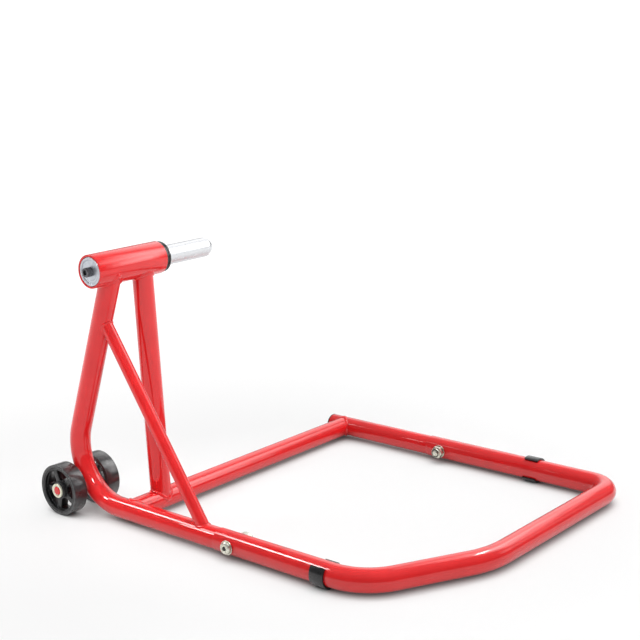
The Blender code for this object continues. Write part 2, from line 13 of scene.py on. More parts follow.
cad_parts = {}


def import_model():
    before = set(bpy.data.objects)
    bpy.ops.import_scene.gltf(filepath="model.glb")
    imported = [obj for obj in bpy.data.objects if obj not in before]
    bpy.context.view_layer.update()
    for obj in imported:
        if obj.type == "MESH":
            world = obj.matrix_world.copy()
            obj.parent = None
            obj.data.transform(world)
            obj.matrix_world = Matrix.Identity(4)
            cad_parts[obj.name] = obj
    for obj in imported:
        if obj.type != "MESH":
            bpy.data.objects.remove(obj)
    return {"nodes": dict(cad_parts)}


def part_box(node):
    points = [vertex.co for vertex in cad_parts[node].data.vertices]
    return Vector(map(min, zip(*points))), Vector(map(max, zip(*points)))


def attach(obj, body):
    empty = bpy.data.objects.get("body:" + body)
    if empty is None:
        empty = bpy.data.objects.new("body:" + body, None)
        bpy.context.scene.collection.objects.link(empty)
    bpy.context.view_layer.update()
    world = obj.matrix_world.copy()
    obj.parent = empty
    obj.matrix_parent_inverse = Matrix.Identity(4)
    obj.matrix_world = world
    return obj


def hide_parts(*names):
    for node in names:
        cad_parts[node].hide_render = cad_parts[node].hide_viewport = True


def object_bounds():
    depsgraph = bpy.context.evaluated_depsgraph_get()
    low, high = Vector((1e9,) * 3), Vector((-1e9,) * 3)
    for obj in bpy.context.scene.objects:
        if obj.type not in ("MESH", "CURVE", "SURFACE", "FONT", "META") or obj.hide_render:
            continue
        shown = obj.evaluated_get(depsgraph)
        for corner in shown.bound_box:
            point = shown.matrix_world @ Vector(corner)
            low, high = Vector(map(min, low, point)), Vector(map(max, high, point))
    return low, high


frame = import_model()
cad_low, cad_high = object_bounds()

X_AXIS = Vector((1, 0, 0))
Y_AXIS = Vector((0, 1, 0))
Z_AXIS = Vector((0, 0, 1))


def middle(node):
    low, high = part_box(node)
    return (low + high) / 2


def size(node):
    low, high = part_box(node)
    return high - low


# ---------------------------------------------------------------- places and sizes from the frame
FLOOR = cad_low.z
LIFT = middle("lift_tube")
LIFT_R = size("lift_tube").z / 2
LIFT_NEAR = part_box("lift_tube")[0].y
LIFT_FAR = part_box("lift_tube")[1].y
FRAME_R = size("near_side_tube").y / 2
HANDLE_R = size("handle_tube").z / 2
RAIL_Z = middle("handle_tube").z
NEAR_Y = middle("near_side_tube").y
FAR_Y = middle("far_rail_tube").y
BEAM_X = middle("cross_beam").x
SECOND_LEG_Y = middle("second_leg").y
SEAM_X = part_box("handle_tube")[0].x
SPIGOT_END_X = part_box("near_side_tube")[1].x
FAR_RAIL_END_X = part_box("far_rail_tube")[0].x
END_BAR_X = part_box("handle_tube")[1].x - HANDLE_R
BOLT_X = middle("near_bolt").x
WHEEL = middle("wheel_axle")
WHEEL_R = size("near_wheel_tyre").z / 2
WHEEL_WIDTH = size("near_wheel_tyre").y
AXLE_R = size("wheel_axle").z / 2

# ---------------------------------------------------------------- the design's own measures
LEG_TILT = math.radians(19.6)  # of the near leg from the vertical
NEAR_BEND_R = 0.080
SECOND_LEG_TOP = 0.0029  # the second leg's axis passes this far forward of the lifting axis
BRACE_R = 0.009
BRACE_TOP = Vector((-0.0157, 0, 0.2770))  # from the lifting axis' foot, up from the rail's axis
BRACE_FOOT = 0.1716
DIAGONAL_BACK = 0.084  # how far behind the end bar the diagonal leaves the near rail
DIAGONAL_TURN = math.radians(62.5)
HANDLE_BENDS = (0.075, 0.130, 0.036)
TUBE_WALL = 0.002
BRACE_WALL = 0.0015
LIFT_WALL = 0.003
CLEARANCE = 0.0003  # between a hole and what sits in it
WELD_BITE = 0.0010  # how far a welded tube's end runs into its neighbour's wall
WELD_SINK = 0.66  # how deep a bead's centre lies in its corner, as a share of its radius
WELD_RIPPLE = 0.0022  # from one ripple of a bead to the next
WELD_RIPPLE_HEIGHT = 0.006  # as a share of the bead's radius, and so is the next
WELD_WANDER = 0.07
WELD_STEP = 0.0004  # between the stations along a bead
WELD_ROUNDING = 7  # steps to either side over which a bead's line is evened out
FRAME_BEAD_R = 0.0054
BRACE_BEAD_R = 0.0042

BOLT_R = 0.005
BOLT_HEAD_HEIGHT = 0.0040
BOLT_TOP_R = 0.0056  # of the flat round the socket
BOLT_SOCKET_APOTHEM = 0.0032
NYLON_R = 0.0066
FOOT_WALL = 0.0027
FOOT_OPENING = math.radians(102)
NEAR_FOOT_FACING = math.radians(86)  # middle of its opening, turned up from +Y
FAR_FOOT_FACING = math.radians(166)
RIM_INNER_R = 0.0303
BOSS_R = 0.0128
WEB_THICKNESS = 0.0130
SPOKES = 5
SPOKE_HALF_WIDTH = 0.0042
SPOKE_TURN = math.radians(5)  # of the first opening between the spokes
WINDOW_CORNER = 0.0020
TREAD_INNER_R = 0.0330
SLEEVE_R = 0.011
PIN_R = 0.01425
PIN_THREAD_R = 0.0043  # of the end bolt's hole, in the pin and in its disc
KNURLS = 36
KNURL_DEPTH = 0.00012

TUBE_SIDES = 72
ROUND_STEPS = 96
BEND_STEP = math.radians(2.5)
BEAD_SIDES = 20
LIP_STEPS = 4
LIP_SOFTNESS = 0.35  # of a tube's open end, as a share of its wall
FILLET_STEPS = 5
SHARP_ANGLE = math.radians(40)
RUN_UP = 0.2  # how far off a line starts that is cast at a cylinder


# ---------------------------------------------------------------- mesh building
def loft(name, rings, closed=False):
    """Skins equal rings of points in order; a ring of one point is a pole, closed joins last to first."""
    mesh = bpy.data.meshes.new(name)
    bm = bmesh.new()
    rows = [[bm.verts.new(point) for point in ring] for ring in rings]
    pairs = list(zip(rows, rows[1:]))
    if closed:
        pairs.append((rows[-1], rows[0]))
    for lower, upper in pairs:
        count = max(len(lower), len(upper))
        for index in range(count):
            follow = (index + 1) % count
            if len(lower) == 1:
                bm.faces.new((lower[0], upper[follow], upper[index]))
            elif len(upper) == 1:
                bm.faces.new((lower[index], lower[follow], upper[0]))
            else:
                bm.faces.new((lower[index], lower[follow], upper[follow], upper[index]))
    bmesh.ops.recalc_face_normals(bm, faces=bm.faces)
    bm.to_mesh(mesh)
    bm.free()
    return finished(name, mesh)


def finished(name, mesh):
    mesh.shade_smooth()
    mesh.set_sharp_from_angle(angle=SHARP_ANGLE)
    obj = bpy.data.objects.new(name, mesh)
    bpy.context.scene.collection.objects.link(obj)
    return obj


def rounded_path(corners, radii):
    """Stations (point, tangent) along the corners' lines, with an arc at each inner corner."""
    first = (corners[1] - corners[0]).normalized()
    stations = [(corners[0], first)]
    for before, corner, after, radius in zip(corners, corners[1:], corners[2:], radii):
        towards_before = (before - corner).normalized()
        towards_after = (after - corner).normalized()
        turn = math.pi - towards_before.angle(towards_after)
        centre = corner + (towards_before + towards_after).normalized() * radius / math.cos(turn / 2)
        start = corner + towards_before * radius * math.tan(turn / 2) - centre
        axis = start.cross(-towards_before)
        steps = math.ceil(turn / BEND_STEP)
        for step in range(steps + 1):
            rotation = Matrix.Rotation(turn * step / steps, 3, axis)
            stations.append((centre + rotation @ start, rotation @ -towards_before))
    last = (corners[-1] - corners[-2]).normalized()
    return stations + [(corners[-1], last)]


def circle(centre, tangent, side, radius, sides=TUBE_SIDES):
    """A ring of points square to the tangent; its radius may be a function of the angle."""
    other = tangent.cross(side)
    ring = []
    for index in range(sides):
        angle = 2 * math.pi * index / sides
        reach = radius(angle) if callable(radius) else radius
        ring.append(centre + (side * math.cos(angle) + other * math.sin(angle)) * reach)
    return ring


def onto_cylinder(point, direction, target):
    """Where the line from a point along a direction first meets a cylinder (point, axis, radius)."""
    base, axis, radius = target
    across = (point - base) - axis * (point - base).dot(axis)
    slope = direction - axis * direction.dot(axis)
    a = slope.dot(slope)
    b = 2 * across.dot(slope)
    c = across.dot(across) - radius * radius
    root = math.sqrt(max(0.0, b * b - 4 * a * c))
    return point + direction * (-b - root) / (2 * a)


def open_end(point, tangent, side, radius, wall, outward):
    """Rings from the outer wall round a softened lip to the bore, at a tube's open end."""
    soft = wall * LIP_SOFTNESS
    outer = []
    inner = []
    for step in range(LIP_STEPS + 1):
        angle = math.pi / 2 * step / LIP_STEPS
        shift = outward * (math.sin(angle) - 1) * soft
        centre = point + tangent * shift
        inset = soft * (1 - math.cos(angle))
        outer.append(circle(centre, tangent, side, radius - inset))
        inner.append(circle(centre, tangent, side, radius - wall + inset))
    return outer + inner[::-1]


def pipe(name, stations, side, radius, wall, start_on=None, end_on=None):
    """A hollow tube along flat-plane stations; an end lies open, or is coped onto a cylinder."""
    outer = [circle(point, tangent, side, radius) for point, tangent in stations]
    inner = [circle(point, tangent, side, radius - wall) for point, tangent in stations]
    ends = []
    for index, target, outward in ((-1, end_on, 1), (0, start_on, -1)):
        point, tangent = stations[index]
        if target:
            base, axis, target_r = target
            bitten = (base, axis, target_r - WELD_BITE)
            way = tangent * outward
            for rings in (outer, inner):
                rings[index] = [onto_cylinder(place - way * RUN_UP, way, bitten) for place in rings[index]]
            ends.append([])
        else:
            ends.append(open_end(point, tangent, side, radius, wall, outward))
    end_rings, start_rings = ends
    if end_rings:
        outer.pop()
        inner.pop()
    if start_rings:
        outer.pop(0)
        inner.pop(0)
    rings = outer + end_rings + inner[::-1] + start_rings[::-1]
    return loft(name, rings, closed=True)


def rounded_profile(corners):
    """(radius, height, fillet) corners of a turned outline, with each fillet made an arc."""
    points = []
    count = len(corners)
    for index, (radius, height, fillet) in enumerate(corners):
        here = Vector((radius, height))
        before = Vector(corners[index - 1][:2])
        after = Vector(corners[(index + 1) % count][:2])
        if not fillet:
            points.append(here)
            continue
        to_before = (before - here).normalized()
        to_after = (after - here).normalized()
        turn = math.pi - to_before.angle(to_after)
        centre = here + (to_before + to_after).normalized() * fillet / math.cos(turn / 2)
        start = here + to_before * fillet * math.tan(turn / 2) - centre
        sign = 1 if to_before.x * to_after.y - to_before.y * to_after.x < 0 else -1
        for step in range(FILLET_STEPS + 1):
            points.append(centre + Matrix.Rotation(sign * turn * step / FILLET_STEPS, 2) @ start)
    return [(max(point.x, 0.0), point.y) for point in points]


def six_sided(apothem):
    """The radius of a hexagon at an angle."""
    sector = math.pi / 3

    def radius(angle):
        return apothem / math.cos((angle + sector / 2) % sector - sector / 2)

    return radius


def polar(name, rings, base, axis, side, closed=False, steps=ROUND_STEPS):
    """Skins (radius, height) rings about an axis; a radius may be a function of the angle."""
    made = []
    for radius, height in rings:
        centre = base + axis * height
        if not callable(radius) and radius < 1e-6:
            made.append([centre])
        else:
            made.append(circle(centre, axis, side, radius, steps))
    return loft(name, made, closed)


def lathe(name, corners, base, axis, closed=False, steps=ROUND_STEPS):
    """Turns rounded corners about an axis; an outline that is not closed starts and ends on the axis."""
    side = axis.orthogonal().normalized()
    return polar(name, rounded_profile(corners), base, axis, side, closed, steps)


def flat_shape(name, outlines, thickness, bevel, matrix):
    """Nested closed outlines, the outermost first, filled and given a rounded thickness along Z."""
    curve = bpy.data.curves.new(name, "CURVE")
    curve.dimensions = "2D"
    curve.fill_mode = "BOTH"
    curve.extrude = thickness / 2 - bevel
    curve.bevel_depth = bevel
    curve.bevel_resolution = 2
    curve.offset = -bevel
    for outline in outlines:
        spline = curve.splines.new("POLY")
        spline.use_cyclic_u = True
        spline.points.add(len(outline) - 1)
        for point, (x, y) in zip(spline.points, outline):
            point.co = (x, y, 0.0, 1.0)
    guide = bpy.data.objects.new(name + "_guide", curve)
    bpy.context.scene.collection.objects.link(guide)
    bpy.context.view_layer.update()
    filled = guide.evaluated_get(bpy.context.evaluated_depsgraph_get())
    mesh = bpy.data.meshes.new_from_object(filled)
    bpy.data.objects.remove(guide, do_unlink=True)
    bm = bmesh.new()
    bm.from_mesh(mesh)
    bmesh.ops.remove_doubles(bm, verts=bm.verts, dist=0.00001)
    bmesh.ops.recalc_face_normals(bm, faces=bm.faces)
    bm.to_mesh(mesh)
    bm.free()
    mesh.transform(matrix)
    return finished(name, mesh)


def arc(radius, start, end, steps):
    angles = [start + (end - start) * step / steps for step in range(steps + 1)]
    return [(radius * math.cos(angle), radius * math.sin(angle)) for angle in angles]


def gathered(name, pieces):
    """The pieces' meshes as one object, each still a closed shell."""
    bm = bmesh.new()
    for piece in pieces:
        bm.from_mesh(piece.data)
        bpy.data.objects.remove(piece, do_unlink=True)
    mesh = bpy.data.meshes.new(name)
    bm.to_mesh(mesh)
    bm.free()
    return finished(name, mesh)


def evened(points):
    """A closed row of points with its kinks rounded off."""
    count = len(points)
    steps = range(-WELD_ROUNDING, WELD_ROUNDING + 1)
    made = []
    for index in range(count):
        near = [points[(index + step) % count] for step in steps]
        made.append(sum(near, Vector()) / len(near))
    return made


def weld_bead(name, point, direction, side, radius, target, bead_r, seed):
    """A faintly rippled weld bead round a tube where it meets a cylinder, sunk into their corner."""
    around = math.ceil(2 * math.pi * radius / WELD_STEP)
    base, axis, _ = target
    other = direction.cross(side)
    line = []
    corners = []
    for index in range(around):
        angle = 2 * math.pi * index / around
        normal = side * math.cos(angle) + other * math.sin(angle)
        place = onto_cylinder(point + normal * radius - direction * RUN_UP, direction, target)
        away = (place - base) - axis * (place - base).dot(axis)
        corner = (normal + away.normalized()).normalized()
        line.append(place - corner * bead_r * WELD_SINK)
        corners.append(corner)
    line = evened(line)
    corners = evened(corners)
    spans = [(line[(index + 1) % around] - line[index]).length for index in range(around)]
    ripples = round(sum(spans) / WELD_RIPPLE)
    travelled = 0.0
    rings = []
    for index, here in enumerate(line):
        tangent = (line[(index + 1) % around] - line[index - 1]).normalized()
        outward = (corners[index] - tangent * corners[index].dot(tangent)).normalized()
        wave = math.cos(2 * math.pi * ripples * travelled / sum(spans))
        wander = noise.noise(here * 140 + Vector((seed, 0, 0)))
        reach = bead_r * (1.0 + WELD_RIPPLE_HEIGHT * wave + WELD_WANDER * wander)
        rings.append(circle(here, tangent, outward, reach, BEAD_SIDES))
        travelled += spans[index]
    return loft(name, rings, closed=True)


# ---------------------------------------------------------------- materials
def new_material(name, colour, roughness, metallic=0.0):
    made = bpy.data.materials.new(name)
    made.use_nodes = True
    shader = made.node_tree.nodes["Principled BSDF"]
    shader.inputs["Base Color"].default_value = (*colour, 1.0)
    shader.inputs["Roughness"].default_value = roughness
    shader.inputs["Metallic"].default_value = metallic
    return made, made.node_tree, shader


def noise_node(tree, scale, detail=3.0, roughness=0.55):
    place = tree.nodes.new("ShaderNodeTexCoord")
    made = tree.nodes.new("ShaderNodeTexNoise")
    made.inputs["Scale"].default_value = scale
    made.inputs["Detail"].default_value = detail
    made.inputs["Roughness"].default_value = roughness
    tree.links.new(place.outputs["Object"], made.inputs["Vector"])
    return made


def map_range(tree, source, from_low, from_high, low, high):
    """A node that takes a source socket's range to another one."""
    made = tree.nodes.new("ShaderNodeMapRange")
    made.inputs["From Min"].default_value = from_low
    made.inputs["From Max"].default_value = from_high
    made.inputs["To Min"].default_value = low
    made.inputs["To Max"].default_value = high
    tree.links.new(source, made.inputs["Value"])
    return made


def vary_colour(tree, shader, source, low, high, low_at=0.3, high_at=0.7):
    """Runs the base colour between two tones with a noise."""
    ramp = tree.nodes.new("ShaderNodeValToRGB")
    for element, place, colour in zip(ramp.color_ramp.elements, (low_at, high_at), (low, high)):
        element.position = place
        element.color = (*colour, 1.0)
    tree.links.new(source.outputs["Fac"], ramp.inputs["Fac"])
    tree.links.new(ramp.outputs["Color"], shader.inputs["Base Color"])


def vary_gloss(tree, shader, source, low, high):
    """Runs the roughness between two values with a noise."""
    gloss = map_range(tree, source.outputs["Fac"], 0.3, 0.7, low, high)
    tree.links.new(gloss.outputs["Result"], shader.inputs["Roughness"])


def add_bump(tree, shader, source, strength, distance):
    bump = tree.nodes.new("ShaderNodeBump")
    bump.inputs["Strength"].default_value = strength
    bump.inputs["Distance"].default_value = distance
    tree.links.new(source.outputs["Fac"], bump.inputs["Height"])
    tree.links.new(bump.outputs["Normal"], shader.inputs["Normal"])
    return bump


def coat(shader, specular, weight, roughness):
    shader.inputs["Specular IOR Level"].default_value = specular
    shader.inputs["Coat Weight"].default_value = weight
    shader.inputs["Coat Roughness"].default_value = roughness


def red_paint():
    """Glossy red powder coat: a clear skin with faint orange peel over a softer, uneven base."""
    material, tree, shader = new_material("red_paint", (0.71, 0.011, 0.013), 0.34)
    coat(shader, 0.08, 1.0, 0.03)
    shader.inputs["Coat IOR"].default_value = 1.55
    vary_colour(tree, shader, noise_node(tree, 35, 2), (0.68, 0.010, 0.012), (0.74, 0.013, 0.015))
    vary_gloss(tree, shader, noise_node(tree, 180, 2), 0.28, 0.42)
    bump = add_bump(tree, shader, noise_node(tree, 300, 1), 0.04, 0.0005)
    tree.links.new(bump.outputs["Normal"], shader.inputs["Coat Normal"])
    return material


def zinc(name, dull, bright, glossy, rough):
    """Zinc plate between two tones and two degrees of polish, with a fine grain."""
    material, tree, shader = new_material(name, bright, 0.28, 1.0)
    vary_colour(tree, shader, noise_node(tree, 260, 3), dull, bright)
    vary_gloss(tree, shader, noise_node(tree, 900, 2), glossy, rough)
    add_bump(tree, shader, noise_node(tree, 1400, 2), 0.08, 0.0004)
    return material


def zinc_cream():
    """Pale, slightly yellow passivated zinc on the push nuts at the axle's ends."""
    material, tree, shader = new_material("zinc_cream", (0.86, 0.83, 0.66), 0.42, 0.6)
    vary_colour(tree, shader, noise_node(tree, 240, 3), (0.80, 0.77, 0.60), (0.90, 0.88, 0.74))
    vary_gloss(tree, shader, noise_node(tree, 900, 2), 0.34, 0.52)
    return material


def turned_steel():
    """Turned and plated steel, with fine rings round the lifting axis."""
    material, tree, shader = new_material("turned_steel", (0.72, 0.73, 0.75), 0.30, 1.0)
    place = tree.nodes.new("ShaderNodeTexCoord")
    rings = tree.nodes.new("ShaderNodeTexWave")
    rings.wave_type = "BANDS"
    rings.bands_direction = "Y"
    rings.inputs["Scale"].default_value = 700
    rings.inputs["Distortion"].default_value = 1.5
    tree.links.new(place.outputs["Object"], rings.inputs["Vector"])
    vary_gloss(tree, shader, noise_node(tree, 300, 3), 0.26, 0.36)
    add_bump(tree, shader, rings, 0.012, 0.0003)
    return material


def black_plastic():
    """Moulded black plastic: a soft sheen that varies, and a fine grain."""
    material, tree, shader = new_material("black_plastic", (0.008, 0.008, 0.009), 0.34)
    coat(shader, 0.2, 0.8, 0.16)
    dark, light = (0.005, 0.005, 0.006), (0.012, 0.012, 0.013)
    vary_colour(tree, shader, noise_node(tree, 90, 4), dark, light, high_at=0.75)
    vary_gloss(tree, shader, noise_node(tree, 140, 4), 0.24, 0.46)
    add_bump(tree, shader, noise_node(tree, 1800, 2), 0.12, 0.0003)
    return material


def tread_rubber():
    """The wheels' tread: black with patches that shine and patches that are scuffed dull."""
    material, tree, shader = new_material("tread_rubber", (0.016, 0.016, 0.017), 0.45)
    coat(shader, 0.4, 1.0, 0.13)
    dark, light = (0.006, 0.006, 0.007), (0.034, 0.034, 0.036)
    vary_colour(tree, shader, noise_node(tree, 120, 5, 0.62), dark, light, low_at=0.35)
    vary_gloss(tree, shader, noise_node(tree, 85, 5, 0.62), 0.22, 0.62)
    add_bump(tree, shader, noise_node(tree, 260, 4), 0.25, 0.0006)
    return material


def black_steel():
    material, tree, shader = new_material("black_steel", (0.14, 0.14, 0.15), 0.36, 1.0)
    vary_colour(tree, shader, noise_node(tree, 500, 3), (0.11, 0.11, 0.12), (0.19, 0.19, 0.20))
    vary_gloss(tree, shader, noise_node(tree, 700, 2), 0.28, 0.45)
    return material


def bush_plastic():
    material, tree, shader = new_material("bush_plastic", (0.72, 0.70, 0.62), 0.45)
    vary_colour(tree, shader, noise_node(tree, 200, 3), (0.66, 0.64, 0.56), (0.76, 0.74, 0.66))
    return material


MATERIALS = {
    "red_paint": red_paint(),
    "zinc_plate": zinc("zinc_plate", (0.58, 0.57, 0.47), (0.80, 0.79, 0.70), 0.20, 0.38),
    "zinc_silver": zinc("zinc_silver", (0.62, 0.65, 0.70), (0.72, 0.75, 0.80), 0.44, 0.56),
    "zinc_cream": zinc_cream(),
    "steel": turned_steel(),
    "black_plastic": black_plastic(),
    "black_rubber": tread_rubber(),
    "black_steel": black_steel(),
    "bush_plastic": bush_plastic(),
}


def dress(obj, look, body, *nodes):
    """Gives a piece its material and slot, lets it ride on a body and stand for CAD nodes."""
    obj.data.materials.clear()
    obj.data.materials.append(MATERIALS[look])
    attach(obj, body)
    if nodes:
        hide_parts(*nodes)
    return obj


# ---------------------------------------------------------------- welded frame
def lift_point(across):
    return Vector((LIFT.x, across, LIFT.z))


def near_tube_corners():
    offset = (LIFT_R - FRAME_R) / math.cos(LEG_TILT)
    corner = offset - (LIFT.z - RAIL_Z) * math.tan(LEG_TILT)
    return [
        Vector((LIFT.x + offset, NEAR_Y, LIFT.z)),
        Vector((LIFT.x + corner, NEAR_Y, RAIL_Z)),
        Vector((SEAM_X, NEAR_Y, RAIL_Z)),
    ]


LIFT_CYLINDER = (lift_point(0.0), Y_AXIS, LIFT_R)
NEAR_RAIL_CYLINDER = (Vector((0, NEAR_Y, RAIL_Z)), X_AXIS, FRAME_R)
FAR_RAIL_CYLINDER = (Vector((0, FAR_Y, RAIL_Z)), X_AXIS, FRAME_R)
BEAM_CYLINDER = (Vector((BEAM_X, 0, RAIL_Z)), Y_AXIS, FRAME_R)


def spigot(name, across):
    """The reduced end of a frame rail, which slides into the handle tube."""
    inside_rail = 0.006
    start = Vector((SEAM_X - inside_rail, across, RAIL_Z))
    end = Vector((SPIGOT_END_X, across, RAIL_Z))
    radius = HANDLE_R - TUBE_WALL - CLEARANCE
    tube = pipe(name, [(start, X_AXIS), (end, X_AXIS)], Z_AXIS, radius, TUBE_WALL)
    dress(tube, "red_paint", "frame")


def near_side_tube():
    stations = rounded_path(near_tube_corners(), [NEAR_BEND_R])
    tube = pipe("near_side_tube_smooth", stations, Y_AXIS, FRAME_R, TUBE_WALL, start_on=LIFT_CYLINDER)
    dress(tube, "red_paint", "frame", "near_side_tube")
    spigot("near_spigot", NEAR_Y)


def far_rail_tube():
    start = Vector((FAR_RAIL_END_X, FAR_Y, RAIL_Z))
    end = Vector((SEAM_X, FAR_Y, RAIL_Z))
    tube = pipe("far_rail_smooth", [(start, X_AXIS), (end, X_AXIS)], Z_AXIS, FRAME_R, TUBE_WALL)
    dress(tube, "red_paint", "frame", "far_rail_tube")
    spigot("far_spigot", FAR_Y)


def straight_tube(name, node, start, end, side, radius, wall, start_on, end_on, bead_r, seed):
    """A straight tube welded at both ends, with a bead round each."""
    direction = (end - start).normalized()
    stations = [(start, direction), (end, direction)]
    dress(pipe(name, stations, side, radius, wall, start_on, end_on), "red_paint", "frame", node)
    centre = (start + end) / 2
    for label, way, target in (("foot", -direction, start_on), ("top", direction, end_on)):
        bead = weld_bead(f"{name}_{label}_weld", centre, way, side, radius, target, bead_r, seed)
        dress(bead, "red_paint", "frame")
        seed += 7


def welded_tubes():
    beam_start = Vector((BEAM_X, NEAR_Y, RAIL_Z))
    beam_end = Vector((BEAM_X, FAR_Y, RAIL_Z))
    straight_tube(
        "cross_beam_smooth", "cross_beam", beam_start, beam_end, Z_AXIS, FRAME_R, TUBE_WALL,
        NEAR_RAIL_CYLINDER, FAR_RAIL_CYLINDER, FRAME_BEAD_R, 3,
    )
    leg_start = Vector((BEAM_X, SECOND_LEG_Y, RAIL_Z))
    leg_end = Vector((LIFT.x + SECOND_LEG_TOP, SECOND_LEG_Y, LIFT.z))
    straight_tube(
        "second_leg_smooth", "second_leg", leg_start, leg_end, Y_AXIS, FRAME_R, TUBE_WALL,
        BEAM_CYLINDER, LIFT_CYLINDER, FRAME_BEAD_R, 11,
    )
    corners = near_tube_corners()
    leg_axis = (corners[0] - corners[1]).normalized()
    leg_cylinder = (corners[0], leg_axis, FRAME_R)
    brace_start = Vector((LIFT.x + BRACE_FOOT, NEAR_Y, RAIL_Z))
    brace_end = Vector((LIFT.x, NEAR_Y, RAIL_Z)) + BRACE_TOP
    straight_tube(
        "diagonal_brace_smooth", "diagonal_brace", brace_start, brace_end, Y_AXIS, BRACE_R, BRACE_WALL,
        NEAR_RAIL_CYLINDER, leg_cylinder, BRACE_BEAD_R, 23,
    )
    below_top = corners[0] - leg_axis * 0.1
    name = "near_leg_top_weld"
    bead = weld_bead(name, below_top, leg_axis, Y_AXIS, FRAME_R, LIFT_CYLINDER, FRAME_BEAD_R, 31)
    dress(bead, "red_paint", "frame")


def lift_tube():
    stations = [(lift_point(LIFT_NEAR), Y_AXIS), (lift_point(LIFT_FAR), Y_AXIS)]
    tube = pipe("lift_tube_smooth", stations, Z_AXIS, LIFT_R, LIFT_WALL)
    dress(tube, "red_paint", "frame", "lift_tube")


def handle_tube():
    diagonal_start = END_BAR_X - DIAGONAL_BACK
    diagonal_end = NEAR_Y + DIAGONAL_BACK * math.tan(DIAGONAL_TURN)
    corners = [
        Vector((SEAM_X, NEAR_Y, RAIL_Z)),
        Vector((diagonal_start, NEAR_Y, RAIL_Z)),
        Vector((END_BAR_X, diagonal_end, RAIL_Z)),
        Vector((END_BAR_X, FAR_Y, RAIL_Z)),
        Vector((SEAM_X, FAR_Y, RAIL_Z)),
    ]
    stations = rounded_path(corners, HANDLE_BENDS)
    tube = pipe("handle_tube_smooth", stations, Z_AXIS, HANDLE_R, TUBE_WALL)
    dress(tube, "red_paint", "frame", "handle_tube")


def far_rail_end_plug():
    low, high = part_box("far_rail_end_plug")
    cap = 0.0025
    reach = high.x - low.x
    inside_r = FRAME_R - TUBE_WALL - CLEARANCE
    corners = [
        (0.0, 0.0, 0),
        (0.0135, 0.0, 0.0012),
        (FRAME_R, 0.0014, 0.0004),
        (FRAME_R, cap, 0.0002),
        (inside_r, cap, 0),
        (inside_r, reach, 0.0006),
        (0.0, reach, 0),
    ]
    plug = lathe("far_rail_plug", corners, Vector((low.x, FAR_Y, RAIL_Z)), X_AXIS)
    dress(plug, "black_plastic", "frame", "far_rail_end_plug")


# ---------------------------------------------------------------- fasteners of the handle
def joint_bolt(side, outward):
    """A low button head with a hexagon socket that a black plug darkens as painted shade, its shank, two
    washers and a lock nut.
    """
    low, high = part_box(side + "_bolt")
    head_end = high.y if outward > 0 else low.y
    axis = Y_AXIS * outward
    head_r = size(side + "_bolt").z / 2
    length = high.y - low.y
    head = BOLT_HEAD_HEIGHT
    socket = six_sided(BOLT_SOCKET_APOTHEM)
    rings = [
        (0.0, -0.0032),
        (0.0012, -0.0030),
        (socket, -0.0027),
        (socket, -0.0004),
        (lambda angle: socket(angle) + 0.0003, 0.0),
        (BOLT_TOP_R, 0.0),
    ]
    for step in range(1, 11):
        angle = math.pi / 2 * step / 10
        reach = BOLT_TOP_R + (head_r - BOLT_TOP_R) * math.sin(angle)
        rings.append((reach, -(head - 0.0006) * (1 - math.cos(angle))))
    rings += [
        (head_r, -head + 0.0003),
        (head_r - 0.0003, -head),
        (BOLT_R, -head),
        (BOLT_R, -length + 0.0016),
        (BOLT_R - 0.0016, -length),
        (0.0, -length),
    ]
    top = Vector((BOLT_X, head_end, RAIL_Z))
    bolt = polar(side + "_bolt_smooth", rings, top, axis, Z_AXIS)
    dress(bolt, "zinc_plate", "frame", side + "_bolt")
    # painted shade: a black plug fills the socket to 1.1 mm below its top so that the socket reads dark
    socket_shade_plug = six_sided(BOLT_SOCKET_APOTHEM - 0.00005)
    rings = [(0.0, -0.0011), (socket_shade_plug, -0.0011), (socket_shade_plug, -0.0025), (0.0, -0.0025)]
    dress(polar(side + "_bolt_socket", rings, top, axis, Z_AXIS), "black_plastic", "frame")
    for node in (side + "_head_washer", side + "_nut_washer"):
        washer(node, BOLT_R + CLEARANCE, BOLT_X, RAIL_Z)
    lock_nut(side, outward)


def washer(node, bore, x, z):
    """A flat ring with softened edges, in place of its faceted CAD node."""
    low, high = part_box(node)
    radius = (high.z - low.z) / 2
    thick = high.y - low.y
    corners = [
        (bore, 0.0, 0.0001),
        (radius, 0.0, 0.0004),
        (radius, thick, 0.0004),
        (bore, thick, 0.0001),
    ]
    ring = lathe(node + "_smooth", corners, Vector((x, low.y, z)), Y_AXIS, closed=True)
    dress(ring, "zinc_plate", "frame", node)


